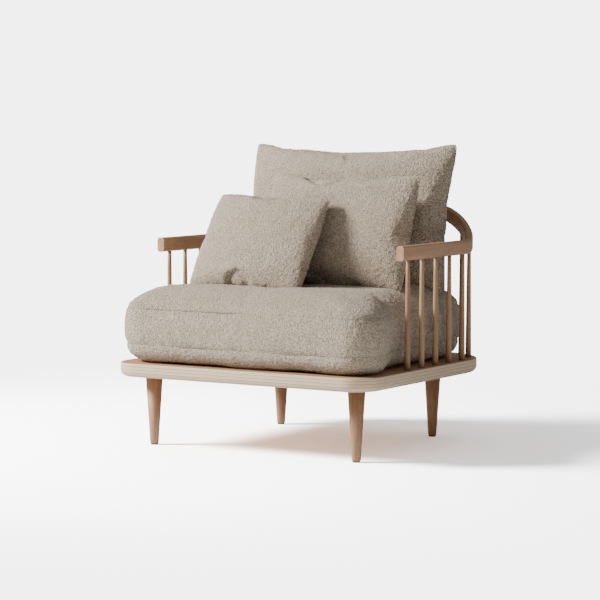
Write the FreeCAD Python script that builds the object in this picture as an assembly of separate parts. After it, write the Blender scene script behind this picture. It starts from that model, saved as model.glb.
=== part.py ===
import FreeCAD, Part
import math
import os

# Lounge chair with a plywood deck, a bent rail on turned spindles and loose cushions.
# Millimetres. The origin is on the floor under the middle of the chair.
# +X is the sitter's left hand side seen from the front, the chair faces -Y, +Z is up.

Vector = FreeCAD.Vector
UP = Vector(0, 0, 1)

# ---------------------------------------------------------------- overall sizes
OVERALL_WIDTH = 746.0
OVERALL_DEPTH = 698.0
DECK_TOP = 213.0
DECK_THICKNESS = 35.0
ARM_UNDERSIDE = 482.0
BACK_RAIL_RISE = 86.0

# ---------------------------------------------------------------- deck
FRONT_CORNER_RADIUS = 75.0
DECK_TOP_ROUNDING = 2.5
DECK_BOTTOM_ROUNDING = 14.0

# ---------------------------------------------------------------- rail and spindles
SPINDLE_INSET = 22.0
REAR_LINE_RADIUS = 145.0
RAIL_THICKNESS = 20.0
RAIL_HEIGHT = 37.0
RAIL_EDGE_ROUNDING = 7.0
RAIL_END_ROUNDING = 5.0
RAIL_PATH_STEPS = 40
ARM_END_FROM_FRONT = 199.0
FIRST_SPINDLE_FROM_FRONT = 240.0
RISE_START = 20.0
RISE_END = 250.0
SPINDLES_PER_HALF = 10
SPINDLE_FOOT_RADIUS = 7.75
SPINDLE_TOP_RADIUS = 5.0
SPINDLE_STRAIGHT_TOP = 14.0
SPINDLE_TENON_RADIUS = 5.0
DECK_TENON_DEPTH = 20.0
RAIL_TENON_DEPTH = 18.0
TENON_END_CLEARANCE = 1.0

# ---------------------------------------------------------------- legs and fixings
FRONT_LEG_X = 295.0
FRONT_LEG_Y = -261.0
REAR_LEG_X = 231.0
REAR_LEG_Y = 249.0
LEG_TOP_RADIUS = 22.0
LEG_FOOT_RADIUS = 11.0
GLIDE_RADIUS = 9.5
GLIDE_THICKNESS = 3.0
GLIDE_PIN_RADIUS = 2.0
GLIDE_PIN_LENGTH = 15.0
BOLT_RADIUS = 4.0
BOLT_IN_LEG = 40.0
BOLT_IN_DECK = 18.0
INSERT_RADIUS = 6.0
INSERT_LENGTH = 20.0
HOLE_END_CLEARANCE = 1.0

# ---------------------------------------------------------------- cushions
REST_GAP = 1.0
COVER_THICKNESS = 3.0
CORE_GAP = 0.5
SEAT_TOP = 395.0
SEAT_FRONT_INSET = 8.0
SEAT_FRONT_CORNER_RADIUS = 75.0
SEAT_LINE_INSET = 20.0
SEAT_NECK_START = 45.0
SEAT_NECK_END = 12.0
SEAT_NECK_OUTER_RADIUS = 52.0
SEAT_NECK_INNER_RADIUS = 44.0
SEAT_EDGE_ROUNDING = 44.0

# Width, thickness, height, edge rounding, backward lean in degrees, middle x, middle y.
BACK_CUSHION = (600.0, 150.0, 355.0, 60.0, 14.0, 0.0, 206.0)
LARGE_PILLOW = (430.0, 124.0, 285.0, 50.0, 19.0, 58.0, 46.0)
SMALL_PILLOW = (330.0, 90.0, 262.0, 40.0, 31.0, -88.0, -105.0)

DECK_UNDERSIDE = DECK_TOP - DECK_THICKNESS
HALF_WIDTH = OVERALL_WIDTH / 2
HALF_DEPTH = OVERALL_DEPTH / 2
LINE_HALF_WIDTH = HALF_WIDTH - SPINDLE_INSET
LINE_BACK = HALF_DEPTH - SPINDLE_INSET
LINE_CORNER_X = LINE_HALF_WIDTH - REAR_LINE_RADIUS
LINE_CORNER_Y = LINE_BACK - REAR_LINE_RADIUS
LINE_CORNER_LENGTH = REAR_LINE_RADIUS * math.pi / 2
ARM_END_Y = ARM_END_FROM_FRONT - HALF_DEPTH
FIRST_SPINDLE_Y = FIRST_SPINDLE_FROM_FRONT - HALF_DEPTH
LEG_PLACES = {
    "front_left": (-FRONT_LEG_X, FRONT_LEG_Y),
    "front_right": (FRONT_LEG_X, FRONT_LEG_Y),
    "rear_left": (-REAR_LEG_X, REAR_LEG_Y),
    "rear_right": (REAR_LEG_X, REAR_LEG_Y),
}


# ---------------------------------------------------------------- helpers
def rounded_wire(corners):
    """Closed flat wire through (x, y, radius) corners, each corner turned with its radius."""
    arcs = []
    ends = []
    for index, (x, y, radius) in enumerate(corners):
        corner = Vector(x, y, 0)
        before = Vector(*corners[index - 1][:2], 0) - corner
        after = Vector(*corners[(index + 1) % len(corners)][:2], 0) - corner
        before.normalize()
        after.normalize()
        half_angle = before.getAngle(after) / 2
        inward = before + after
        inward.normalize()
        reach = radius / math.tan(half_angle)
        centre = corner + inward * (radius / math.sin(half_angle))
        start = corner + before * reach
        end = corner + after * reach
        arcs.append(Part.Arc(start, centre - inward * radius, end).toShape())
        ends.append((start, end))
    edges = []
    for index, arc in enumerate(arcs):
        edges.append(arc)
        here = ends[index][1]
        there = ends[(index + 1) % len(ends)][0]
        if here.distanceToPoint(there) > 0.001:
            edges.append(Part.makeLine(here, there))
    return Part.Wire(edges)


def slab(corners, bottom, top):
    """Flat plate with a rounded outline between two heights."""
    plate = Part.Face(rounded_wire(corners)).extrude(UP * (top - bottom))
    plate.translate(UP * bottom)
    return plate


def edges_at_height(shape, height):
    """The edges that lie wholly at one height."""
    return [
        edge for edge in shape.Edges
        if abs(edge.BoundBox.ZMin - height) < 0.01 and abs(edge.BoundBox.ZMax - height) < 0.01
    ]


def turned(profile, x, y):
    """Solid of revolution about a vertical axis, from (radius, height) points."""
    points = [Vector(radius, 0, height) for radius, height in profile]
    face = Part.Face(Part.makePolygon(points + [points[0]]))
    solid = face.revolve(Vector(0, 0, 0), UP, 360)
    solid.translate(Vector(x, y, 0))
    return solid


def peg(radius, bottom, top, x, y):
    """Upright cylinder between two heights."""
    return Part.makeCylinder(radius, top - bottom, Vector(x, y, bottom))


# ---------------------------------------------------------------- the line of the spindles
def line_point(distance, side):
    """Plan point on one half of the spindle line, measured from where the corner starts."""
    if distance < 0:
        x = LINE_HALF_WIDTH
        y = LINE_CORNER_Y + distance
    elif distance < LINE_CORNER_LENGTH:
        angle = distance / REAR_LINE_RADIUS
        x = LINE_CORNER_X + REAR_LINE_RADIUS * math.cos(angle)
        y = LINE_CORNER_Y + REAR_LINE_RADIUS * math.sin(angle)
    else:
        x = LINE_CORNER_X - (distance - LINE_CORNER_LENGTH)
        y = LINE_BACK
    return side * x, y


def rail_underside(distance):
    """Height of the rail's underside: level along the arm, climbing round the corner."""
    share = (distance - RISE_START) / (RISE_END - RISE_START)
    share = min(max(share, 0.0), 1.0)
    return ARM_UNDERSIDE + BACK_RAIL_RISE * share * share * (3 - 2 * share)


def spindle_places():
    """Name, x, y and rail underside for every spindle, from the two arms to the middle back."""
    first = FIRST_SPINDLE_Y - LINE_CORNER_Y
    middle = LINE_CORNER_LENGTH + LINE_CORNER_X
    spacing = (middle - first) / SPINDLES_PER_HALF
    places = []
    for number in range(SPINDLES_PER_HALF):
        distance = first + spacing * number
        for side_name, side in (("left", -1), ("right", 1)):
            x, y = line_point(distance, side)
            name = "spindle_%s_%02d" % (side_name, number + 1)
            places.append((name, x, y, rail_underside(distance)))
    places.append(("spindle_middle", 0.0, LINE_BACK, rail_underside(middle)))
    return places


# ---------------------------------------------------------------- wooden frame
def make_deck():
    """Plywood deck with a rounded edge, spindle holes above and insert holes below."""
    rear_radius = REAR_LINE_RADIUS + SPINDLE_INSET
    deck = slab([
        (-HALF_WIDTH, -HALF_DEPTH, FRONT_CORNER_RADIUS),
        (HALF_WIDTH, -HALF_DEPTH, FRONT_CORNER_RADIUS),
        (HALF_WIDTH, HALF_DEPTH, rear_radius),
        (-HALF_WIDTH, HALF_DEPTH, rear_radius),
    ], DECK_UNDERSIDE, DECK_TOP)
    deck = deck.makeFillet(DECK_BOTTOM_ROUNDING, edges_at_height(deck, DECK_UNDERSIDE))
    deck = deck.makeFillet(DECK_TOP_ROUNDING, edges_at_height(deck, DECK_TOP))
    holes = []
    hole_floor = DECK_TOP - DECK_TENON_DEPTH - TENON_END_CLEARANCE
    for _, x, y, _ in spindle_places():
        holes.append(peg(SPINDLE_TENON_RADIUS, hole_floor, DECK_TOP, x, y))
    hole_ceiling = DECK_UNDERSIDE + INSERT_LENGTH + HOLE_END_CLEARANCE
    for x, y in LEG_PLACES.values():
        holes.append(peg(INSERT_RADIUS, DECK_UNDERSIDE, hole_ceiling, x, y))
    return deck.cut(holes)


def make_rail():
    """Rail swept round the spindle line, its section kept upright, drilled from below."""
    arm_end = ARM_END_Y - LINE_CORNER_Y
    middle = LINE_CORNER_LENGTH + LINE_CORNER_X
    half_steps = RAIL_PATH_STEPS // 2
    right_half = []
    for step in range(half_steps):
        distance = arm_end + (middle - arm_end) * step / half_steps
        x, y = line_point(distance, 1)
        right_half.append(Vector(x, y, rail_underside(distance) + RAIL_HEIGHT / 2))
    centre = Vector(0, LINE_BACK, rail_underside(middle) + RAIL_HEIGHT / 2)
    left_half = [Vector(-point.x, point.y, point.z) for point in reversed(right_half)]
    path = Part.BSplineCurve()
    path.interpolate(right_half + [centre] + left_half)

    half_t = RAIL_THICKNESS / 2
    half_h = RAIL_HEIGHT / 2
    section = rounded_wire([
        (-half_t, -half_h, RAIL_EDGE_ROUNDING),
        (half_t, -half_h, RAIL_EDGE_ROUNDING),
        (half_t, half_h, RAIL_EDGE_ROUNDING),
        (-half_t, half_h, RAIL_EDGE_ROUNDING),
    ])
    section.rotate(Vector(0, 0, 0), Vector(1, 0, 0), 90)
    section.translate(right_half[0])

    sweep = Part.BRepOffsetAPI.MakePipeShell(Part.Wire(path.toShape()))
    sweep.setBiNormalMode(UP)
    sweep.add(section)
    sweep.build()
    sweep.makeSolid()
    rail = Part.Solid(sweep.shape())
    end_edges = [edge for edge in rail.Edges if edge.BoundBox.YMax < ARM_END_Y + 0.01]
    rail = rail.makeFillet(RAIL_END_ROUNDING, end_edges)

    holes = []
    for _, x, y, underside in spindle_places():
        ceiling = underside + RAIL_TENON_DEPTH + TENON_END_CLEARANCE
        holes.append(peg(SPINDLE_TOP_RADIUS, underside - RAIL_HEIGHT / 2, ceiling, x, y))
    return rail.cut(holes)


def make_spindle(x, y, underside):
    """Turned spindle: tenon in the deck, tapered body, straight top let into the rail."""
    return turned([
        (0, DECK_TOP - DECK_TENON_DEPTH),
        (SPINDLE_TENON_RADIUS, DECK_TOP - DECK_TENON_DEPTH),
        (SPINDLE_TENON_RADIUS, DECK_TOP),
        (SPINDLE_FOOT_RADIUS, DECK_TOP),
        (SPINDLE_TOP_RADIUS, underside - SPINDLE_STRAIGHT_TOP),
        (SPINDLE_TOP_RADIUS, underside + RAIL_TENON_DEPTH),
        (0, underside + RAIL_TENON_DEPTH),
    ], x, y)


def make_leg(x, y):
    """Turned leg, drilled on top for its bolt and below for the glide's pin."""
    bolt_floor = DECK_UNDERSIDE - BOLT_IN_LEG - HOLE_END_CLEARANCE
    pin_ceiling = GLIDE_THICKNESS + GLIDE_PIN_LENGTH + HOLE_END_CLEARANCE
    return turned([
        (GLIDE_PIN_RADIUS, GLIDE_THICKNESS),
        (LEG_FOOT_RADIUS, GLIDE_THICKNESS),
        (LEG_TOP_RADIUS, DECK_UNDERSIDE),
        (BOLT_RADIUS, DECK_UNDERSIDE),
        (BOLT_RADIUS, bolt_floor),
        (0, bolt_floor),
        (0, pin_ceiling),
        (GLIDE_PIN_RADIUS, pin_ceiling),
    ], x, y)


def make_glide(x, y):
    """Nail-on foot glide."""
    return turned([
        (0, 0),
        (GLIDE_RADIUS, 0),
        (GLIDE_RADIUS, GLIDE_THICKNESS),
        (GLIDE_PIN_RADIUS, GLIDE_THICKNESS),
        (GLIDE_PIN_RADIUS, GLIDE_THICKNESS + GLIDE_PIN_LENGTH),
        (0, GLIDE_THICKNESS + GLIDE_PIN_LENGTH),
    ], x, y)


def make_hanger_bolts():
    """The four hanger bolts that join the legs to their inserts."""
    bottom = DECK_UNDERSIDE - BOLT_IN_LEG
    top = DECK_UNDERSIDE + BOLT_IN_DECK
    return Part.Compound([peg(BOLT_RADIUS, bottom, top, x, y) for x, y in LEG_PLACES.values()])


def make_threaded_inserts():
    """The four threaded inserts let into the underside of the deck."""
    top = DECK_UNDERSIDE + INSERT_LENGTH
    sleeves = []
    for x, y in LEG_PLACES.values():
        sleeve = peg(INSERT_RADIUS, DECK_UNDERSIDE, top, x, y)
        sleeves.append(sleeve.cut(peg(BOLT_RADIUS, DECK_UNDERSIDE, top, x, y)))
    return Part.Compound(sleeves)


# ---------------------------------------------------------------- cushions
def seat_block(inset):
    """Seat cushion: full width in front of the arms, narrower between the spindles."""
    front = SEAT_FRONT_INSET - HALF_DEPTH + inset
    wide = HALF_WIDTH - SEAT_FRONT_INSET - inset
    narrow = LINE_HALF_WIDTH - SEAT_LINE_INSET - inset
    back = LINE_BACK - SEAT_LINE_INSET - inset
    neck_front = ARM_END_Y - SEAT_NECK_START
    neck_back = ARM_END_Y - SEAT_NECK_END
    front_radius = SEAT_FRONT_CORNER_RADIUS - inset
    rear_radius = REAR_LINE_RADIUS - SEAT_LINE_INSET - inset
    right = [
        (wide, front, front_radius),
        (wide, neck_front, SEAT_NECK_OUTER_RADIUS - inset),
        (narrow, neck_back, SEAT_NECK_INNER_RADIUS),
        (narrow, back, rear_radius),
    ]
    left = [(-x, y, radius) for x, y, radius in reversed(right)]
    bottom = DECK_TOP + REST_GAP + inset
    top = SEAT_TOP - inset
    block = slab(right + left, bottom, top)
    edges = edges_at_height(block, bottom) + edges_at_height(block, top)
    return block.makeFillet(SEAT_EDGE_ROUNDING - inset, edges)


def leaning_block(size, inset):
    """Plain rounded cushion that leans back with its lowest edge just over the seat."""
    width, thickness, height, rounding, lean, middle_x, middle_y = size
    angle = math.radians(lean)
    reach = (height / 2 - rounding) * math.cos(angle)
    reach += (thickness / 2 - rounding) * math.sin(angle) + rounding
    middle = Vector(middle_x, middle_y, SEAT_TOP + REST_GAP + reach)
    corner = Vector(inset - width / 2, inset - thickness / 2, inset - height / 2)
    block = Part.makeBox(width - 2 * inset, thickness - 2 * inset, height - 2 * inset, corner)
    block = block.makeFillet(rounding - inset, block.Edges)
    block.rotate(Vector(0, 0, 0), Vector(1, 0, 0), -lean)
    block.translate(middle)
    return block


def cover_and_core(make_block):
    """Thin hollow cover and the filling inside it, from a block that can be shrunk."""
    cover = make_block(0.0).cut(make_block(COVER_THICKNESS))
    core = make_block(COVER_THICKNESS + CORE_GAP)
    return cover, core


# ---------------------------------------------------------------- all the nodes
def build_nodes():
    nodes = {"seat_deck": make_deck(), "arm_rail": make_rail()}
    for name, x, y, underside in spindle_places():
        nodes[name] = make_spindle(x, y, underside)
    for place, (x, y) in LEG_PLACES.items():
        nodes["leg_" + place] = make_leg(x, y)
        nodes["glide_" + place] = make_glide(x, y)
    nodes["hanger_bolts"] = make_hanger_bolts()
    nodes["threaded_inserts"] = make_threaded_inserts()
    nodes["seat_cushion_cover"], nodes["seat_cushion_core"] = cover_and_core(seat_block)
    for name, size in (
        ("back_cushion", BACK_CUSHION),
        ("large_pillow", LARGE_PILLOW),
        ("small_pillow", SMALL_PILLOW),
    ):
        cover, core = cover_and_core(lambda inset: leaning_block(size, inset))
        nodes[name + "_cover"] = cover
        nodes[name + "_core"] = core
    return nodes


os.makedirs("parts", exist_ok=True)
for node_name, node_shape in build_nodes().items():
    node_shape.exportStep("parts/%s.step" % node_name)
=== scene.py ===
import math

import bpy
import bmesh
from mathutils import Matrix, Vector, noise
from mathutils.bvhtree import BVHTree


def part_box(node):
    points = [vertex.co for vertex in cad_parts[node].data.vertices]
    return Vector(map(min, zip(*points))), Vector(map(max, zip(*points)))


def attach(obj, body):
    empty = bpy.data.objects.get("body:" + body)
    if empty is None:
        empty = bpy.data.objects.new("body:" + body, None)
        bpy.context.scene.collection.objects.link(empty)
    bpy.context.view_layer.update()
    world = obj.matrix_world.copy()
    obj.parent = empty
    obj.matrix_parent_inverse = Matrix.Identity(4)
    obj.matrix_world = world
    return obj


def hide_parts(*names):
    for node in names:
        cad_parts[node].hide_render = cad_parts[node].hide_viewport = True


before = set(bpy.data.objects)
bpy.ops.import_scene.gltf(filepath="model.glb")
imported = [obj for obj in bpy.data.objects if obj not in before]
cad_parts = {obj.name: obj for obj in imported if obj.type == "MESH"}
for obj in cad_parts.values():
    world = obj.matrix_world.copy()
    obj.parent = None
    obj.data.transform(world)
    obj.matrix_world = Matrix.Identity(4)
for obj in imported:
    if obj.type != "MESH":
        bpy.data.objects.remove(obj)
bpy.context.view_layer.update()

# ---------------------------------------------------------------- sizes in metres, and counts
HALF_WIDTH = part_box("seat_deck")[1][0]
HALF_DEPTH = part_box("seat_deck")[1][1]
DECK_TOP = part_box("seat_deck")[1][2]
DECK_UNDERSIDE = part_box("seat_deck")[0][2]
DECK_FRONT_CORNER = 0.075
DECK_TOP_ROUNDING = 0.0025
DECK_BOTTOM_ROUNDING = 0.015
DECK_CORNER_STEPS = 28
DECK_TOP_STEPS = 4
DECK_BOTTOM_STEPS = 8
DECK_TOP_RIM = 0.004
DECK_BOTTOM_RIM = 0.006

SPINDLE_INSET = 0.022
REAR_LINE_RADIUS = 0.145
SPINDLES_PER_HALF = 10
FIRST_SPINDLE_FROM_FRONT = 0.240
ARM_END_FROM_FRONT = 0.199
ARM_UNDERSIDE = 0.482
BACK_RAIL_RISE = 0.086
RISE_START = 0.020
RISE_END = 0.250
RAIL_THICKNESS = 0.020
RAIL_HEIGHT = 0.037
RAIL_EDGE_ROUNDING = 0.0075
RAIL_EDGE_STEPS = 7
SPINDLE_FOOT_RADIUS = 0.00775
SPINDLE_TOP_RADIUS = 0.005
SPINDLE_SIDES = 32
SPINDLE_SEGMENTS = 6

LEG_TOP_RADIUS = 0.022
LEG_FOOT_RADIUS = 0.011
LEG_FOOT_ROUNDING = 0.002
LEG_FOOT_SOFTENING = 0.3

SEAT_OVERHANG_INSET = 0.008
SEAT_SIDE_GAP = 0.019
CUSHION_GRID = 0.006
SEAT_GRID = 0.007
FLAT_FACE = 0.9

LINE_HALF_WIDTH = HALF_WIDTH - SPINDLE_INSET
LINE_BACK = HALF_DEPTH - SPINDLE_INSET
LINE_CORNER_X = LINE_HALF_WIDTH - REAR_LINE_RADIUS
LINE_CORNER_Y = LINE_BACK - REAR_LINE_RADIUS
LINE_CORNER_LENGTH = REAR_LINE_RADIUS * math.pi / 2
LINE_MIDDLE = LINE_CORNER_LENGTH + LINE_CORNER_X


# ---------------------------------------------------------------- small helpers
def srgb(red, green, blue):
    """Linear colour from 0 to 255 display values."""
    def linear(value):
        share = value / 255
        return share / 12.92 if share <= 0.04045 else ((share + 0.055) / 1.055) ** 2.4
    return (linear(red), linear(green), linear(blue), 1.0)


def grey(value):
    """Opaque grey of a linear brightness."""
    return (value, value, value, 1.0)


def scaled(colour, share):
    """The same colour, brighter or darker."""
    return tuple(part * share for part in colour[:3]) + (1.0,)


def add_object(name, data):
    """Links a new object at the origin that shows this mesh, light or camera."""
    obj = bpy.data.objects.new(name, data)
    bpy.context.scene.collection.objects.link(obj)
    return obj


def repaint(obj, material):
    """Leaves a piece with this one material."""
    obj.data.materials.clear()
    obj.data.materials.append(material)


def mesh_of(name, points, faces, edges=()):
    """Mesh from plain lists, smooth shaded."""
    mesh = bpy.data.meshes.new(name)
    mesh.from_pydata([tuple(point) for point in points], list(edges), faces)
    mesh.update()
    for polygon in mesh.polygons:
        polygon.use_smooth = True
    return mesh


def face_outward(mesh):
    """Turns every face of a closed mesh outward."""
    work = bmesh.new()
    work.from_mesh(mesh)
    bmesh.ops.recalc_face_normals(work, faces=work.faces)
    if work.calc_volume(signed=True) < 0:
        bmesh.ops.reverse_faces(work, faces=work.faces)
    work.to_mesh(mesh)
    work.free()


def ring_solid(name, rings):
    """Closed solid through rings of equally many points, capped at both ends."""
    count = len(rings[0])
    points = [point for ring in rings for point in ring]
    faces = []
    for level in range(len(rings) - 1):
        for index in range(count):
            after = (index + 1) % count
            low = level * count
            faces.append((low + index, low + after, low + count + after, low + count + index))
    faces.append(tuple(range(count)))
    faces.append(tuple(range(len(points) - count, len(points))))
    mesh = mesh_of(name, points, faces)
    face_outward(mesh)
    return mesh


def rounded_points(corners, per_arc):
    """Plan points of a closed outline through (x, y, radius) corners."""
    points = []
    for index, (x, y, radius) in enumerate(corners):
        corner = Vector((x, y))
        before = (Vector(corners[index - 1][:2]) - corner).normalized()
        after = (Vector(corners[(index + 1) % len(corners)][:2]) - corner).normalized()
        half_angle = before.angle(after) / 2
        inward = (before + after).normalized()
        centre = corner + inward * (radius / math.sin(half_angle))
        first = corner + before * (radius / math.tan(half_angle)) - centre
        last = corner + after * (radius / math.tan(half_angle)) - centre
        turn = first.angle_signed(last)
        for step in range(per_arc + 1):
            angle = -turn * step / per_arc
            points.append(centre + Matrix.Rotation(angle, 2) @ first)
    return points


# ---------------------------------------------------------------- node helpers
def new_material(name):
    """Material with a Principled shader. Returns it with a node maker and a linker."""
    material = bpy.data.materials.new(name)
    material.use_nodes = True
    tree = material.node_tree
    shader = tree.nodes["Principled BSDF"]

    def node(kind, **settings):
        made = tree.nodes.new(kind)
        for key, value in settings.items():
            setattr(made, key, value)
        return made
    return material, shader, node, tree.links.new


def set_inputs(node, **values):
    """Sets sockets by name, with underscores for spaces."""
    for key, value in values.items():
        node.inputs[key.replace("_", " ")].default_value = value


def ramp_between(node, stops):
    """Colour ramp node through (place, colour) stops."""
    ramp = node("ShaderNodeValToRGB")
    elements = ramp.color_ramp.elements
    while len(elements) > len(stops):
        elements.remove(elements[-1])
    while len(elements) < len(stops):
        elements.new(0.5)
    for element, (place, colour) in zip(elements, stops):
        element.position = place
        element.color = colour
    return ramp


def new_tree(name, inputs):
    """Geometry Nodes tree with named float inputs. Returns it with its two end nodes."""
    tree = bpy.data.node_groups.new(name, "GeometryNodeTree")
    tree.interface.new_socket("Geometry", in_out="INPUT", socket_type="NodeSocketGeometry")
    for label in inputs:
        tree.interface.new_socket(label, in_out="INPUT", socket_type="NodeSocketFloat")
    tree.interface.new_socket("Geometry", in_out="OUTPUT", socket_type="NodeSocketGeometry")
    entry = tree.nodes.new("NodeGroupInput")
    leave = tree.nodes.new("NodeGroupOutput")
    return tree, entry, leave


def finish_tree(tree, geometry, leave, material):
    """Ends a tree with Realize Instances and Set Material."""
    realize = tree.nodes.new("GeometryNodeRealizeInstances")
    paint = tree.nodes.new("GeometryNodeSetMaterial")
    paint.inputs["Material"].default_value = material
    tree.links.new(geometry, realize.inputs[0])
    tree.links.new(realize.outputs[0], paint.inputs["Geometry"])
    tree.links.new(paint.outputs[0], leave.inputs[0])


def grown(name, source, tree, values):
    """Plain mesh object that the tree grows from a source mesh."""
    holder = add_object(name + "_source", source)
    modifier = holder.modifiers.new("grow", "NODES")
    modifier.node_group = tree
    for item in tree.interface.items_tree:
        if item.in_out == "INPUT" and item.name in values:
            modifier[item.identifier] = values[item.name]
    evaluated = holder.evaluated_get(bpy.context.evaluated_depsgraph_get())
    mesh = bpy.data.meshes.new_from_object(evaluated)
    mesh.name = name
    holder.modifiers.remove(modifier)
    bpy.data.objects.remove(holder)
    return add_object(name, mesh)


# ---------------------------------------------------------------- materials
OAK_LIGHT = srgb(172, 134, 100)
OAK_DARK = srgb(142, 104, 74)
OAK_PORE = srgb(112, 80, 56)
OAK_GRAIN_ACROSS = 55.0
OAK_GRAIN_ALONG = 2.5
OAK_PORES_ACROSS = 700.0
OAK_PORES_ALONG = 22.0
OAK_PORE_STRENGTH = 0.55


def oak(name, axis=None):
    """Matte oiled oak. The grain runs along one axis, or along the rail if none is given."""
    material, shader, node, link = new_material(name)
    grain = node("ShaderNodeMapping")
    pores = node("ShaderNodeMapping")
    if axis is None:
        along = node("ShaderNodeAttribute", attribute_name="along")
        section = node("ShaderNodeAttribute", attribute_name="section")
        split = node("ShaderNodeSeparateXYZ")
        place = node("ShaderNodeCombineXYZ")
        link(section.outputs["Vector"], split.inputs[0])
        link(along.outputs["Fac"], place.inputs["X"])
        link(split.outputs["X"], place.inputs["Y"])
        link(split.outputs["Y"], place.inputs["Z"])
        coordinates = place.outputs[0]
        axis = 0
    else:
        coordinates = node("ShaderNodeTexCoord").outputs["Object"]
    grain_scale = [OAK_GRAIN_ACROSS] * 3
    pore_scale = [OAK_PORES_ACROSS] * 3
    grain_scale[axis] = OAK_GRAIN_ALONG
    pore_scale[axis] = OAK_PORES_ALONG
    set_inputs(grain, Scale=grain_scale)
    set_inputs(pores, Scale=pore_scale)
    figure = node("ShaderNodeTexNoise")
    set_inputs(figure, Scale=1.0, Detail=5.0, Roughness=0.6, Distortion=0.4)
    streaks = node("ShaderNodeTexNoise")
    set_inputs(streaks, Scale=1.0, Detail=2.0, Roughness=0.5)
    colours = ramp_between(node, [(0.32, OAK_DARK), (0.68, OAK_LIGHT)])
    pore_mask = ramp_between(node, [(0.58, grey(0.0)), (0.72, grey(OAK_PORE_STRENGTH))])
    mix = node("ShaderNodeMix", data_type="RGBA")
    mix.inputs["B"].default_value = OAK_PORE
    bump = node("ShaderNodeBump")
    set_inputs(bump, Strength=0.25, Distance=0.0004)
    link(coordinates, grain.inputs["Vector"])
    link(coordinates, pores.inputs["Vector"])
    link(grain.outputs[0], figure.inputs["Vector"])
    link(pores.outputs[0], streaks.inputs["Vector"])
    link(figure.outputs["Fac"], colours.inputs[0])
    link(streaks.outputs["Fac"], pore_mask.inputs[0])
    link(pore_mask.outputs[0], mix.inputs["Factor"])
    link(colours.outputs[0], mix.inputs["A"])
    link(mix.outputs["Result"], shader.inputs["Base Color"])
    link(streaks.outputs["Fac"], bump.inputs["Height"])
    link(bump.outputs[0], shader.inputs["Normal"])
    set_inputs(shader, Roughness=0.55)
    return material


PLY_COUNT = 9
PLY_PALE = srgb(206, 185, 158)
PLY_MID = srgb(188, 163, 133)
PLY_GLUE = srgb(112, 84, 60)
PLY_WAVER = 0.0012


def plywood_edge():
    """Pale layered edge: alternate veneers with thin darker glue lines between them."""
    material, shader, node, link = new_material("plywood_edge")
    coordinates = node("ShaderNodeTexCoord")
    split = node("ShaderNodeSeparateXYZ")
    waver = node("ShaderNodeTexNoise")
    set_inputs(waver, Scale=9.0, Detail=2.0)
    shift = node("ShaderNodeMath", operation="MULTIPLY_ADD")
    shift.inputs[1].default_value = PLY_WAVER
    layers = node("ShaderNodeMath", operation="MULTIPLY")
    layers.inputs[1].default_value = PLY_COUNT / (DECK_TOP - DECK_UNDERSIDE)
    fraction = node("ShaderNodeMath", operation="FRACT")
    alternate = node("ShaderNodeMath", operation="PINGPONG")
    alternate.inputs[1].default_value = 1.0
    veneers = ramp_between(node, [(0.35, PLY_PALE), (0.65, PLY_MID)])
    glue = ramp_between(node, [(0.0, grey(1.0)), (0.22, grey(0.0))])
    mix = node("ShaderNodeMix", data_type="RGBA")
    mix.inputs["B"].default_value = PLY_GLUE
    bump = node("ShaderNodeBump", invert=True)
    set_inputs(bump, Strength=0.3, Distance=0.0004)
    link(coordinates.outputs["Object"], split.inputs[0])
    link(coordinates.outputs["Object"], waver.inputs["Vector"])
    link(waver.outputs["Fac"], shift.inputs[0])
    link(split.outputs["Z"], shift.inputs[2])
    link(shift.outputs[0], layers.inputs[0])
    link(layers.outputs[0], fraction.inputs[0])
    link(layers.outputs[0], alternate.inputs[0])
    link(alternate.outputs[0], veneers.inputs[0])
    link(fraction.outputs[0], glue.inputs[0])
    link(glue.outputs[0], mix.inputs["Factor"])
    link(veneers.outputs[0], mix.inputs["A"])
    link(mix.outputs["Result"], shader.inputs["Base Color"])
    link(glue.outputs[0], bump.inputs["Height"])
    link(bump.outputs[0], shader.inputs["Normal"])
    set_inputs(shader, Roughness=0.6)
    return material


# The deepest bouclé colour is painted shade for the hollows between the loops.
BOUCLE_LOOP = srgb(216, 200, 180)
BOUCLE_MID = srgb(200, 182, 160)
BOUCLE_CREVICE_SHADE = srgb(162, 143, 120)
LOOPS_PER_METRE = 290.0
CURL_SHIFT = 0.005
LOOP_RISE = -1.1
PATCH_SHARE = 0.35


# The share makes painted lit and shaded copies of the same weave.
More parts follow.
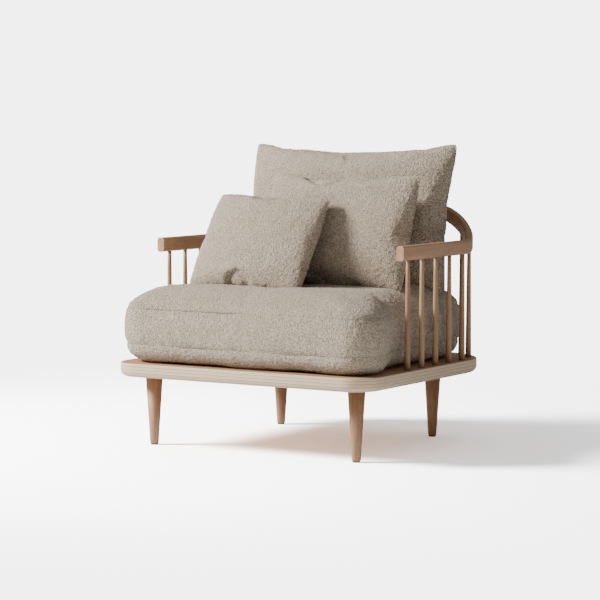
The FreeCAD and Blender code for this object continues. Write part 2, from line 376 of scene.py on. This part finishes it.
def boucle(name, painted_light_share=1.0):
    """Looped wool weave: small uneven curls, pale on top, with painted shade darkening the colour
    between them.
    """
    material, shader, node, link = new_material(name)
    coordinates = node("ShaderNodeTexCoord")
    curl = node("ShaderNodeTexNoise")
    set_inputs(curl, Scale=150.0, Detail=2.0)
    offset = node("ShaderNodeVectorMath", operation="MULTIPLY_ADD")
    offset.inputs[1].default_value = (CURL_SHIFT,) * 3
    loops = node("ShaderNodeTexVoronoi", feature="SMOOTH_F1")
    set_inputs(loops, Scale=LOOPS_PER_METRE, Smoothness=0.5)
    fine = node("ShaderNodeTexNoise")
    set_inputs(fine, Scale=520.0, Detail=3.0, Roughness=0.7)
    patches = node("ShaderNodeTexNoise")
    set_inputs(patches, Scale=38.0, Detail=3.0)
    height = node("ShaderNodeMath", operation="MULTIPLY_ADD")
    height.inputs[1].default_value = LOOP_RISE
    shade = node("ShaderNodeMath", operation="MULTIPLY_ADD")
    shade.inputs[1].default_value = PATCH_SHARE
    # Low places between the loops take the painted shade colour; the patches are random tone.
    stops = [(0.0, BOUCLE_CREVICE_SHADE), (0.30, BOUCLE_MID), (0.65, BOUCLE_LOOP)]
    colours = ramp_between(node, [(place, scaled(colour, painted_light_share)) for place, colour in stops])
    bump = node("ShaderNodeBump")
    set_inputs(bump, Strength=1.0, Distance=0.0055)
    link(coordinates.outputs["Object"], curl.inputs["Vector"])
    link(curl.outputs["Color"], offset.inputs[0])
    link(coordinates.outputs["Object"], offset.inputs[2])
    link(offset.outputs[0], loops.inputs["Vector"])
    link(coordinates.outputs["Object"], fine.inputs["Vector"])
    link(coordinates.outputs["Object"], patches.inputs["Vector"])
    link(loops.outputs["Distance"], height.inputs[0])
    link(fine.outputs["Fac"], height.inputs[2])
    link(patches.outputs["Fac"], shade.inputs[0])
    link(height.outputs[0], shade.inputs[2])
    link(shade.outputs[0], colours.inputs[0])
    link(colours.outputs[0], shader.inputs["Base Color"])
    link(height.outputs[0], bump.inputs["Height"])
    link(bump.outputs[0], shader.inputs["Normal"])
    set_inputs(shader, Roughness=0.95, Sheen_Weight=0.25, Sheen_Roughness=0.5)
    set_inputs(shader, Specular_IOR_Level=0.2)
    return material


def plain(name, colour, roughness, metallic=0.0, mottle=0.06):
    """Single colour with a little unevenness."""
    material, shader, node, link = new_material(name)
    coordinates = node("ShaderNodeTexCoord")
    texture = node("ShaderNodeTexNoise")
    set_inputs(texture, Scale=60.0, Detail=3.0)
    colours = ramp_between(node, [(0.3, scaled(colour, 1 - mottle)), (0.7, colour)])
    link(coordinates.outputs["Object"], texture.inputs["Vector"])
    link(texture.outputs["Fac"], colours.inputs[0])
    link(colours.outputs[0], shader.inputs["Base Color"])
    set_inputs(shader, Roughness=roughness, Metallic=metallic)
    return material


OAK_UPRIGHT = oak("oak_upright", axis=2)
OAK_SIDEWAYS = oak("oak_sideways", axis=0)
OAK_RAIL = oak("oak_rail")
PLY_EDGE = plywood_edge()
FABRIC = boucle("boucle")
# The piping is the same weave brightened a little: painted highlight on the raised cord.
WELT_FABRIC_PAINTED_HIGHLIGHT = boucle("boucle_welt_painted_highlight", painted_light_share=1.06)
# The seam cord is the same weave darkened: painted shade along the seam line.
SEAM_SHADED_THREAD = boucle("boucle_seam_painted_shade", painted_light_share=0.85)
GLIDE = plain("glide_plastic", srgb(52, 46, 42), roughness=0.5)
STEEL = plain("zinc_steel", srgb(176, 176, 172), roughness=0.35, metallic=1.0)


# ---------------------------------------------------------------- the line of the spindles
def line_point(distance, side):
    """Plan point on one half of the spindle line, measured from where the corner starts."""
    if distance < 0:
        return Vector((side * LINE_HALF_WIDTH, LINE_CORNER_Y + distance))
    if distance < LINE_CORNER_LENGTH:
        angle = distance / REAR_LINE_RADIUS
        x = LINE_CORNER_X + REAR_LINE_RADIUS * math.cos(angle)
        return Vector((side * x, LINE_CORNER_Y + REAR_LINE_RADIUS * math.sin(angle)))
    return Vector((side * (LINE_MIDDLE - distance), LINE_BACK))


def rail_underside(distance):
    """Height of the rail's underside: level along the arm, climbing round the corner."""
    share = (distance - RISE_START) / (RISE_END - RISE_START)
    share = min(max(share, 0.0), 1.0)
    return ARM_UNDERSIDE + BACK_RAIL_RISE * share * share * (3 - 2 * share)


# ---------------------------------------------------------------- wooden frame
def make_deck():
    """Deck with a layered edge, rounded over above and more strongly below."""
    def ring(inset, height):
        rear = REAR_LINE_RADIUS + SPINDLE_INSET - inset
        front = DECK_FRONT_CORNER - inset
        wide = HALF_WIDTH - inset
        deep = HALF_DEPTH - inset
        outline = rounded_points([
            (-wide, -deep, front), (wide, -deep, front), (wide, deep, rear), (-wide, deep, rear),
        ], per_arc=DECK_CORNER_STEPS)
        return [(point.x, point.y, height) for point in outline]

    def turn(radius, steps, up):
        """Insets and rises of a quarter turn."""
        for step in range(steps + 1):
            angle = math.pi / 2 * step / steps
            if up:
                yield radius * (1 - math.cos(angle)), radius * math.sin(angle)
            else:
                yield radius * (1 - math.sin(angle)), radius * (1 - math.cos(angle))

    rings = [ring(DECK_BOTTOM_ROUNDING + DECK_BOTTOM_RIM, DECK_UNDERSIDE)]
    for inset, rise in turn(DECK_BOTTOM_ROUNDING, DECK_BOTTOM_STEPS, up=False):
        rings.append(ring(inset, DECK_UNDERSIDE + rise))
    for inset, rise in turn(DECK_TOP_ROUNDING, DECK_TOP_STEPS, up=True):
        rings.append(ring(inset, DECK_TOP - DECK_TOP_ROUNDING + rise))
    rings.append(ring(DECK_TOP_ROUNDING + DECK_TOP_RIM, DECK_TOP))
    mesh = ring_solid("deck", rings)
    mesh.materials.append(PLY_EDGE)
    mesh.materials.append(OAK_SIDEWAYS)
    for polygon in mesh.polygons:
        flat = abs(polygon.normal.z) > FLAT_FACE
        polygon.material_index = 1 if flat else 0
    deck = add_object("deck", mesh)
    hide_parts("seat_deck")
    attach(deck, "frame")


def rail_tree():
    """Sweeps a rounded upright section along the path, and keeps coordinates for the grain."""
    tree, entry, leave = new_tree("rail", ["Thickness", "Height", "Edge Rounding"])
    add = tree.nodes.new
    link = tree.links.new
    path = add("GeometryNodeMeshToCurve")
    upright = add("GeometryNodeSetCurveNormal")
    upright.mode = "Z_UP"
    radius = add("GeometryNodeSetCurveRadius")
    fullness = add("GeometryNodeInputNamedAttribute")
    fullness.data_type = "FLOAT"
    fullness.inputs["Name"].default_value = "fullness"
    section = add("GeometryNodeCurvePrimitiveQuadrilateral")
    rounding = add("GeometryNodeFilletCurve")
    rounding.mode = "POLY"
    rounding.inputs["Count"].default_value = RAIL_EDGE_STEPS
    store = add("GeometryNodeStoreNamedAttribute")
    store.data_type = "FLOAT_VECTOR"
    store.inputs["Name"].default_value = "section"
    position = add("GeometryNodeInputPosition")
    sweep = add("GeometryNodeCurveToMesh")
    sweep.inputs["Fill Caps"].default_value = True
    link(entry.outputs["Geometry"], path.inputs[0])
    link(path.outputs[0], upright.inputs["Curve"])
    link(upright.outputs[0], radius.inputs["Curve"])
    link(fullness.outputs["Attribute"], radius.inputs["Radius"])
    link(entry.outputs["Thickness"], section.inputs["Width"])
    link(entry.outputs["Height"], section.inputs["Height"])
    link(section.outputs[0], rounding.inputs["Curve"])
    link(entry.outputs["Edge Rounding"], rounding.inputs["Radius"])
    link(rounding.outputs[0], store.inputs["Geometry"])
    link(position.outputs[0], store.inputs["Value"])
    link(radius.outputs[0], sweep.inputs["Curve"])
    link(store.outputs[0], sweep.inputs["Profile Curve"])
    finish_tree(tree, sweep.outputs[0], leave, OAK_RAIL)
    return tree


RAIL_STEPS = 120
RAIL_END_ROUNDING = 0.006
RAIL_END_STEPS = 6
RAIL_END_FULLNESS = 0.62


def make_rail():
    """Bent rail: level arms that climb round the corners to the back."""
    arm_end = ARM_END_FROM_FRONT - HALF_DEPTH - LINE_CORNER_Y
    stations = []
    for step in range(RAIL_END_STEPS):
        angle = math.pi / 2 * step / RAIL_END_STEPS
        full = RAIL_END_FULLNESS + (1 - RAIL_END_FULLNESS) * math.sin(angle)
        stations.append((arm_end + RAIL_END_ROUNDING * (1 - math.cos(angle)), full))
    start = arm_end + RAIL_END_ROUNDING
    for step in range(RAIL_STEPS + 1):
        stations.append((start + (LINE_MIDDLE - start) * step / RAIL_STEPS, 1.0))
    right = [(distance, full, 1) for distance, full in stations]
    left = [(distance, full, -1) for distance, full in reversed(stations[:-1])]
    points = []
    along = []
    fullness = []
    for distance, full, side in right + left:
        plan = line_point(distance, side)
        points.append((plan.x, plan.y, rail_underside(distance) + RAIL_HEIGHT / 2))
        along.append(side * (LINE_MIDDLE - distance))
        fullness.append(full)
    edges = [(index, index + 1) for index in range(len(points) - 1)]
    path = mesh_of("rail_path", points, [], edges)
    for name, values in (("along", along), ("fullness", fullness)):
        attribute = path.attributes.new(name, "FLOAT", "POINT")
        attribute.data.foreach_set("value", values)
    rail = grown("arm_rail_oak", path, rail_tree(), {
        "Thickness": RAIL_THICKNESS, "Height": RAIL_HEIGHT, "Edge Rounding": RAIL_EDGE_ROUNDING,
    })
    rail.data.polygons.foreach_set("use_smooth", [len(face.vertices) == 4
                                                  for face in rail.data.polygons])
    face_outward(rail.data)
    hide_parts("arm_rail")
    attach(rail, "frame")


SPINDLE_INTO_DECK = 0.003
SPINDLE_INTO_RAIL = 0.012


def spindle_tree():
    """Stands one tapered spindle on every point, stretched to its own reach."""
    tree, entry, leave = new_tree("spindles", ["Foot Radius", "Top Radius"])
    add = tree.nodes.new
    link = tree.links.new
    cone = add("GeometryNodeMeshCone")
    cone.inputs["Vertices"].default_value = SPINDLE_SIDES
    cone.inputs["Side Segments"].default_value = SPINDLE_SEGMENTS
    cone.inputs["Depth"].default_value = 1.0
    smooth = add("GeometryNodeSetShadeSmooth")
    reach = add("GeometryNodeInputNamedAttribute")
    reach.data_type = "FLOAT"
    reach.inputs["Name"].default_value = "reach"
    stretch = add("ShaderNodeCombineXYZ")
    stretch.inputs["X"].default_value = 1.0
    stretch.inputs["Y"].default_value = 1.0
    stand = add("GeometryNodeInstanceOnPoints")
    link(entry.outputs["Foot Radius"], cone.inputs["Radius Bottom"])
    link(entry.outputs["Top Radius"], cone.inputs["Radius Top"])
    link(cone.outputs["Mesh"], smooth.inputs["Geometry"])
    link(cone.outputs["Side"], smooth.inputs["Selection"])
    link(reach.outputs["Attribute"], stretch.inputs["Z"])
    link(entry.outputs["Geometry"], stand.inputs["Points"])
    link(smooth.outputs[0], stand.inputs["Instance"])
    link(stretch.outputs[0], stand.inputs["Scale"])
    finish_tree(tree, stand.outputs[0], leave, OAK_UPRIGHT)
    return tree


def make_spindles():
    """Every spindle between the deck and the rail, evenly spaced along the line."""
    first = FIRST_SPINDLE_FROM_FRONT - HALF_DEPTH - LINE_CORNER_Y
    spacing = (LINE_MIDDLE - first) / SPINDLES_PER_HALF
    feet = []
    reaches = []
    for number in range(SPINDLES_PER_HALF + 1):
        distance = first + spacing * number
        for side in ((-1, 1) if number < SPINDLES_PER_HALF else (1,)):
            plan = line_point(distance, side)
            foot = DECK_TOP - SPINDLE_INTO_DECK
            feet.append((plan.x, plan.y, foot))
            reaches.append(rail_underside(distance) + SPINDLE_INTO_RAIL - foot)
    points = mesh_of("spindle_feet", feet, [])
    points.attributes.new("reach", "FLOAT", "POINT").data.foreach_set("value", reaches)
    spindles = grown("spindles", points, spindle_tree(), {
        "Foot Radius": SPINDLE_FOOT_RADIUS, "Top Radius": SPINDLE_TOP_RADIUS,
    })
    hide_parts(*[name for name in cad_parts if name.startswith("spindle_")])
    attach(spindles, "frame")


def turned(name, profile, x, y, material, segments=48):
    """Turned piece through (radius, height) points, from the bottom up."""
    rings = []
    for radius, height in profile:
        ring = []
        for step in range(segments):
            angle = 2 * math.pi * step / segments
            ring.append((x + radius * math.cos(angle), y + radius * math.sin(angle), height))
        rings.append(ring)
    mesh = ring_solid(name, rings)
    for polygon in mesh.polygons:
        polygon.use_smooth = len(polygon.vertices) == 4
    mesh.materials.append(material)
    return add_object(name, mesh)


def make_legs():
    """Four tapered legs, each on a thin dark glide."""
    for place in ("front_left", "front_right", "rear_left", "rear_right"):
        low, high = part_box("leg_" + place)
        x = (low[0] + high[0]) / 2
        y = (low[1] + high[1]) / 2
        foot = low[2]
        leg = turned("turned_leg_" + place, [
            (LEG_FOOT_RADIUS - LEG_FOOT_ROUNDING, foot),
            (LEG_FOOT_RADIUS - LEG_FOOT_ROUNDING * LEG_FOOT_SOFTENING,
             foot + LEG_FOOT_ROUNDING * LEG_FOOT_SOFTENING),
            (LEG_FOOT_RADIUS, foot + LEG_FOOT_ROUNDING),
            (LEG_TOP_RADIUS, DECK_UNDERSIDE),
        ], x, y, OAK_UPRIGHT)
        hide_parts("leg_" + place)
        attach(leg, "frame")
        repaint(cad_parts["glide_" + place], GLIDE)
    for name in ("hanger_bolts", "threaded_inserts"):
        repaint(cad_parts[name], STEEL)


# ---------------------------------------------------------------- cushions
CLOTH_FRAMES = 20
CLOTH_PRESSURE = 4.0


def settle(obj, cap):
    """Blows the cover up a little as cloth. No point ends further than cap from its start."""
    start = [vertex.co.copy() for vertex in obj.data.vertices]
    modifier = obj.modifiers.new("cloth", "CLOTH")
    cloth = modifier.settings
    cloth.quality = 5
    cloth.mass = 0.4
    cloth.tension_stiffness = 15
    cloth.compression_stiffness = 15
    cloth.shear_stiffness = 8
    cloth.bending_stiffness = 1.5
    cloth.use_pressure = True
    cloth.uniform_pressure_force = CLOTH_PRESSURE
    cloth.effector_weights.gravity = 0
    modifier.point_cache.frame_start = 1
    modifier.point_cache.frame_end = CLOTH_FRAMES
    scene = bpy.context.scene
    for number in range(1, CLOTH_FRAMES + 1):
        scene.frame_set(number)
    evaluated = obj.evaluated_get(bpy.context.evaluated_depsgraph_get())
    settled = [vertex.co.copy() for vertex in evaluated.data.vertices]
    obj.modifiers.remove(modifier)
    scene.frame_set(1)
    for vertex, before, after in zip(obj.data.vertices, start, settled):
        move = after - before
        if move.length > cap:
            move *= cap / move.length
        vertex.co = before + move
    obj.data.update()


def subdivided(obj):
    """Applies one level of smooth subdivision."""
    modifier = obj.modifiers.new("smooth", "SUBSURF")
    modifier.levels = 1
    evaluated = obj.evaluated_get(bpy.context.evaluated_depsgraph_get())
    mesh = bpy.data.meshes.new_from_object(evaluated)
    obj.modifiers.remove(modifier)
    obj.data = mesh
    mesh.polygons.foreach_set("use_smooth", [True] * len(mesh.polygons))


def roughen(mesh, amounts):
    """Moves points along their normals by (size, depth) layers of smooth noise."""
    normals = [vertex.normal.copy() for vertex in mesh.vertices]
    for vertex, normal in zip(mesh.vertices, normals):
        shift = sum(depth * noise.noise(vertex.co / size) for size, depth in amounts)
        vertex.co += normal * shift
    mesh.update()


PILLOW_CLOTH_CAP = 0.026
PANEL_START = 0.92
PANEL_SQUARENESS = 2.8
PANEL_FULLNESS = 0.55
CORNER_SHARPNESS = 8
CORNER_PULL = 0.004
BASE_REST = 0.9
BASE_BLUR = 7
FABRIC_NOISE = [(0.150, 0.004), (0.055, 0.0018), (0.007, 0.0016)]


def pillow_panels(width, height, thickness, side_sag, top_sag):
    """Two panels sewn along their edge, front towards -Y. Returns the mesh and its edge loop."""
    columns = round(width / CUSHION_GRID)
    rows = round(height / CUSHION_GRID)
    points = []
    index_of = {}
    for face in (-1, 1):
        for row in range(rows + 1):
            for column in range(columns + 1):
                edge = row in (0, rows) or column in (0, columns)
                if edge and face == 1:
                    index_of[face, row, column] = index_of[-1, row, column]
                    continue
                u = 2 * column / columns - 1
                v = 2 * row / rows - 1
                square = (1 - abs(u) ** PANEL_SQUARENESS) * (1 - abs(v) ** PANEL_SQUARENESS)
                full = square ** PANEL_FULLNESS
                corner = CORNER_PULL * (u * v) ** CORNER_SHARPNESS
                x = u * (width / 2 - side_sag * (1 - v * v) - corner)
                z = v * (height / 2 - top_sag * (1 - u * u) - corner)
                index_of[face, row, column] = len(points)
                points.append((x, face * thickness / 2 * full, z))
    faces = []
    for face in (-1, 1):
        for row in range(rows):
            for column in range(columns):
                corners = (
                    index_of[face, row, column], index_of[face, row, column + 1],
                    index_of[face, row + 1, column + 1], index_of[face, row + 1, column],
                )
                faces.append(corners if face == -1 else corners[::-1])
    loop = [index_of[-1, 0, column] for column in range(columns)]
    loop += [index_of[-1, row, columns] for row in range(rows)]
    loop += [index_of[-1, rows, column] for column in range(columns, 0, -1)]
    loop += [index_of[-1, row, 0] for row in range(rows, 0, -1)]
    return mesh_of("pillow", points, faces), loop


def fit_to(mesh, width, thickness, height):
    """Scales a settled pillow about its middle to its real size."""
    for axis, size in ((0, width), (1, thickness), (2, height)):
        values = [vertex.co[axis] for vertex in mesh.vertices]
        middle = (max(values) + min(values)) / 2
        scale = size / (max(values) - min(values))
        for vertex in mesh.vertices:
            vertex.co[axis] = (vertex.co[axis] - middle) * scale
    mesh.update()


def rest_base(mesh, base):
    """Brings the sagging lower edge down, so that the whole edge rests on what is below it."""
    lowest = min(vertex.co.z for vertex in mesh.vertices)
    edge = sorted((mesh.vertices[index].co.x, mesh.vertices[index].co.z) for index in base)
    heights = []
    for place in range(len(edge)):
        near = edge[max(place - BASE_BLUR, 0):place + BASE_BLUR + 1]
        heights.append(sum(z for _, z in near) / len(near))
    left = edge[0][0]
    step = (edge[-1][0] - left) / (len(edge) - 1)
    for vertex in mesh.vertices:
        if vertex.co.z < 0:
            place = min(max(round((vertex.co.x - left) / step), 0), len(edge) - 1)
            share = (vertex.co.z / lowest) ** 2
            vertex.co.z -= BASE_REST * share * (heights[place] - lowest)
    mesh.update()


WELT_SIDES = 10


def welt_tree(name, material):
    """Runs a closed cord along a closed path."""
    tree, entry, leave = new_tree(name, ["Radius"])
    add = tree.nodes.new
    link = tree.links.new
    path = add("GeometryNodeMeshToCurve")
    circle = add("GeometryNodeCurvePrimitiveCircle")
    circle.inputs["Resolution"].default_value = WELT_SIDES
    sweep = add("GeometryNodeCurveToMesh")
    smooth = add("GeometryNodeSetShadeSmooth")
    link(entry.outputs["Geometry"], path.inputs[0])
    link(entry.outputs["Radius"], circle.inputs["Radius"])
    link(path.outputs[0], sweep.inputs["Curve"])
    link(circle.outputs[0], sweep.inputs["Profile Curve"])
    link(sweep.outputs[0], smooth.inputs["Geometry"])
    finish_tree(tree, smooth.outputs[0], leave, material)
    return tree


WELT_TREE = welt_tree("welt", WELT_FABRIC_PAINTED_HIGHLIGHT)
SEAM_TREE = welt_tree("seam", SEAM_SHADED_THREAD)


def make_welt(name, loop, radius, tree, body):
    """Cord along a closed loop of points, riding with its cushion."""
    count = len(loop)
    edges = [(index, (index + 1) % count) for index in range(count)]
    path = mesh_of(name + "_path", loop, [], edges)
    welt = grown(name, path, tree, {"Radius": radius})
    face_outward(welt.data)
    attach(welt, body)


def make_pillow(body, size, lean, roll, middle, sags, welt_radius):
    """Loose cushion: sewn, blown up, fitted to size, leaned back and set in place."""
    width, thickness, height = size
    mesh, loop = pillow_panels(width, height, thickness * PANEL_START, *sags)
    pillow = add_object(body + "_boucle", mesh)
    settle(pillow, cap=PILLOW_CLOTH_CAP)
    fit_to(mesh, width, thickness, height)
    rest_base(mesh, loop[:round(width / CUSHION_GRID) + 1])
    place = Matrix.Translation(middle) @ Matrix.Rotation(math.radians(-lean), 4, "X")
    place = place @ Matrix.Rotation(math.radians(roll), 4, "Y")
    mesh.transform(place)
    subdivided(pillow)
    roughen(pillow.data, FABRIC_NOISE)
    seam = [pillow.data.vertices[index].co.copy() for index in loop]
    repaint(pillow, FABRIC)
    make_welt(body + "_welt", seam, welt_radius, WELT_TREE, body)
    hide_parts(body + "_cover", body + "_core")
    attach(pillow, body)


SEAT_CLOTH_CAP = 0.006
SEAT_FRONT_CORNER = 0.072
SEAT_NECK_START = 0.085
SEAT_NECK_END = 0.005
SEAT_NECK_RADIUS = 0.120
SEAT_REAR_CORNER = 0.125
SEAT_CROWN_REACH = 0.125
SEAT_CROWN_RISE = 0.060
SEAT_CROWN_TOP = 0.399
SEAT_BOTTOM_ROUNDING = 0.044
SEAT_SIDE_BULGE = 0.004
SEAT_BOTTOM_STEPS = 6
SEAT_SIDE_STEPS = 6
SEAT_CROWN_STEPS = 12
SEAT_BOTTOM_SHARES = (0.95, 0.6, 0.25)
SEAT_TOP_SHARES = (0.5, 0.7, 0.95)
SEAT_TOP_DOME = 0.001
SEAT_SEAM_HEIGHTS = (0.352, 0.262)
SEAM_DEPTH = 0.0020
SEAM_WIDTH = 0.006
SEAM_SEARCH = 0.05
SEAM_SUNK = 0.0004
SEAM_THREAD_RADIUS = 0.0011


def seat_outline():
    """Plan points: full width in front of the arms, narrower between the spindles."""
    front = SEAT_OVERHANG_INSET - HALF_DEPTH
    wide = HALF_WIDTH - SEAT_OVERHANG_INSET
    narrow = LINE_HALF_WIDTH - SEAT_SIDE_GAP
    back = LINE_BACK - SEAT_SIDE_GAP
    arm_end = ARM_END_FROM_FRONT - HALF_DEPTH
    right = [
        (wide, front, SEAT_FRONT_CORNER),
        (wide, arm_end - SEAT_NECK_START, SEAT_NECK_RADIUS),
        (narrow, arm_end + SEAT_NECK_END, SEAT_NECK_RADIUS),
        (narrow, back, SEAT_REAR_CORNER),
    ]
    left = [(-x, y, radius) for x, y, radius in reversed(right)]
    return rounded_points(right + left, per_arc=24)


def make_seat():
    """Deep seat cushion with a crowned top and two border seams."""
    outline = seat_outline()
    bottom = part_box("seat_cushion_cover")[0][2]
    half = HALF_WIDTH - SEAT_OVERHANG_INSET

    def ring(inset, height):
        scale = 1 - inset / half
        return [(point.x * scale, point.y * scale, height) for point in outline]

    rings = [ring(half * share, bottom) for share in SEAT_BOTTOM_SHARES]
    for step in range(SEAT_BOTTOM_STEPS + 1):
        angle = math.pi / 2 * step / SEAT_BOTTOM_STEPS
        inset = SEAT_BOTTOM_ROUNDING * (1 - math.sin(angle))
        rings.append(ring(inset, bottom + SEAT_BOTTOM_ROUNDING * (1 - math.cos(angle))))
    low = bottom + SEAT_BOTTOM_ROUNDING
    high = SEAT_CROWN_TOP - SEAT_CROWN_RISE
    for step in range(1, SEAT_SIDE_STEPS):
        share = step / SEAT_SIDE_STEPS
        bulge = SEAT_SIDE_BULGE * math.sin(math.pi * share)
        rings.append(ring(-bulge, low + (high - low) * share))
    for step in range(SEAT_CROWN_STEPS + 1):
        angle = math.pi / 2 * step / SEAT_CROWN_STEPS
        inset = SEAT_CROWN_REACH * (1 - math.cos(angle))
        rings.append(ring(inset, high + SEAT_CROWN_RISE * math.sin(angle)))
    rings += [ring(half * share, SEAT_CROWN_TOP + SEAT_TOP_DOME) for share in SEAT_TOP_SHARES]
    seat = add_object("seat_cushion_boucle", ring_solid("seat_cushion_boucle", rings))
    seat.data.remesh_voxel_size = SEAT_GRID
    bpy.context.view_layer.objects.active = seat
    seat.select_set(True)
    bpy.ops.object.voxel_remesh()
    settle(seat, cap=SEAT_CLOTH_CAP)
    for vertex in seat.data.vertices:
        vertex.co.z = max(vertex.co.z, bottom)
    subdivided(seat)
    mesh = seat.data
    for vertex, normal in [(vertex, vertex.normal.copy()) for vertex in mesh.vertices]:
        if abs(normal.z) > FLAT_FACE:
            continue
        for height in SEAT_SEAM_HEIGHTS:
            away = (vertex.co.z - height) / SEAM_WIDTH
            vertex.co -= normal * SEAM_DEPTH * math.exp(-away * away)
    roughen(mesh, FABRIC_NOISE)
    repaint(seat, FABRIC)
    surface = BVHTree.FromPolygons([vertex.co for vertex in mesh.vertices],
                                   [tuple(face.vertices) for face in mesh.polygons])
    for number, height in enumerate(SEAT_SEAM_HEIGHTS):
        seam = []
        for point in outline:
            away = Vector((point.x, point.y, 0)).normalized()
            outside = Vector((point.x, point.y, height)) + away * SEAM_SEARCH
            hit = surface.ray_cast(outside, -away)[0]
            if hit is not None:
                seam.append(hit - away * SEAM_SUNK)
        make_welt("seat_seam_%d" % (number + 1), seam, SEAM_THREAD_RADIUS, SEAM_TREE, "seat_cushion")
    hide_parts("seat_cushion_cover", "seat_cushion_core")
    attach(seat, "seat_cushion")


make_deck()
make_rail()
make_spindles()
make_legs()
make_seat()
make_pillow("back_cushion", size=(0.600, 0.160, 0.384), lean=14.0, roll=-0.7,
            middle=(0.0, 0.203, 0.571), sags=(-0.004, 0.006), welt_radius=0.0024)
make_pillow("large_pillow", size=(0.430, 0.120, 0.304), lean=19.0, roll=0.0,
            middle=(0.060, 0.046, 0.538), sags=(-0.004, -0.003), welt_radius=0.0024)
make_pillow("small_pillow", size=(0.335, 0.104, 0.280), lean=34.0, roll=0.6,
            middle=(-0.088, -0.092, 0.512), sags=(-0.004, -0.003), welt_radius=0.0022)


# ---------------------------------------------------------------- studio
FLOOR_REACH = 60.0
FADE_START = 0.7
FADE_END = 2.0
AMBIENT_LIGHT = 0.40
BACKDROP_GLOW = 5.3
FLOOR_SHINE = 3.4
KEY_LIGHT_PLACE = Vector((-3.7, -2.5, 3.3))
KEY_LIGHT_AIM = Vector((0, 0, 0.35))
KEY_LIGHT_SIZE = 1.5
KEY_LIGHT_POWER = 860.0


def floor_material():
    """Pale floor that fades into the backdrop. It shows brighter than it lights."""
    material, shader, node, link = new_material("studio_floor")
    diffuse = node("ShaderNodeBsdfDiffuse")
    backdrop = node("ShaderNodeEmission")
    backdrop.inputs["Strength"].default_value = BACKDROP_GLOW
    coordinates = node("ShaderNodeTexCoord")
    away = node("ShaderNodeVectorMath", operation="LENGTH")
    fade = node("ShaderNodeMapRange", interpolation_type="SMOOTHSTEP")
    set_inputs(fade, From_Min=FADE_START, From_Max=FADE_END)
    both = node("ShaderNodeMath", operation="MULTIPLY")
    surface = node("ShaderNodeMixShader")
    link(coordinates.outputs["Object"], away.inputs[0])
    link(away.outputs["Value"], fade.inputs["Value"])
    link(fade.outputs[0], both.inputs[0])
    seen = node("ShaderNodeLightPath")
    tone = node("ShaderNodeMix", data_type="RGBA")
    tone.inputs["A"].default_value = srgb(243, 243, 243)
    tone.inputs["B"].default_value = grey(FLOOR_SHINE)
    link(seen.outputs["Is Camera Ray"], tone.inputs["Factor"])
    link(tone.outputs["Result"], diffuse.inputs["Color"])
    link(seen.outputs["Is Camera Ray"], both.inputs[1])
    link(both.outputs[0], surface.inputs["Fac"])
    link(diffuse.outputs[0], surface.inputs[1])
    link(backdrop.outputs[0], surface.inputs[2])
    link(surface.outputs[0], material.node_tree.nodes["Material Output"].inputs["Surface"])
    material.node_tree.nodes.remove(shader)
    return material


def make_floor():
    """Wide flat floor under the chair."""
    corners = [(-FLOOR_REACH, -FLOOR_REACH, 0), (FLOOR_REACH, -FLOOR_REACH, 0),
               (FLOOR_REACH, FLOOR_REACH, 0), (-FLOOR_REACH, FLOOR_REACH, 0)]
    mesh = mesh_of("studio_floor", corners, [(0, 1, 2, 3)])
    mesh.materials.append(floor_material())
    floor = add_object("studio_floor", mesh)


def make_surroundings():
    """Even light from all round, brighter where it is seen as the backdrop."""
    world = bpy.data.worlds.new("studio")
    bpy.context.scene.world = world
    world.use_nodes = True
    tree = world.node_tree
    background = tree.nodes["Background"]
    background.inputs["Color"].default_value = grey(1.0)
    seen = tree.nodes.new("ShaderNodeLightPath")
    strength = tree.nodes.new("ShaderNodeMath")
    strength.operation = "MULTIPLY_ADD"
    strength.inputs[1].default_value = BACKDROP_GLOW - AMBIENT_LIGHT
    strength.inputs[2].default_value = AMBIENT_LIGHT
    tree.links.new(seen.outputs["Is Camera Ray"], strength.inputs[0])
    tree.links.new(strength.outputs[0], background.inputs["Strength"])


def make_key_light():
    """One broad light from the front left, above the chair."""
    light = bpy.data.lights.new("key_light", "AREA")
    light.size = KEY_LIGHT_SIZE
    light.energy = KEY_LIGHT_POWER
    lamp = add_object("key_light", light)
    lamp.location = KEY_LIGHT_PLACE
    aim = KEY_LIGHT_AIM - KEY_LIGHT_PLACE
    lamp.rotation_euler = aim.to_track_quat("-Z", "Y").to_euler()


CAMERA_PLACE = Vector((3.190, -5.329, 0.855))
CAMERA_AZIMUTH = 31.08
CAMERA_DOWN = 4.53
CAMERA_ROLL = -0.15
CAMERA_LENS = 146.25
CAMERA_SENSOR = 36.0


def make_camera():
    """Long lens from the front right, a little above the seat."""
    camera = bpy.data.cameras.new("camera")
    camera.lens = CAMERA_LENS
    camera.sensor_width = CAMERA_SENSOR
    holder = add_object("camera", camera)
    turn = Matrix.Rotation(math.radians(CAMERA_AZIMUTH), 4, "Z")
    tip = Matrix.Rotation(math.radians(90 - CAMERA_DOWN), 4, "X")
    roll = Matrix.Rotation(math.radians(-CAMERA_ROLL), 4, "Z")
    holder.matrix_world = Matrix.Translation(CAMERA_PLACE) @ turn @ tip @ roll
    bpy.context.scene.camera = holder


make_floor()
make_surroundings()
make_key_light()
make_camera()
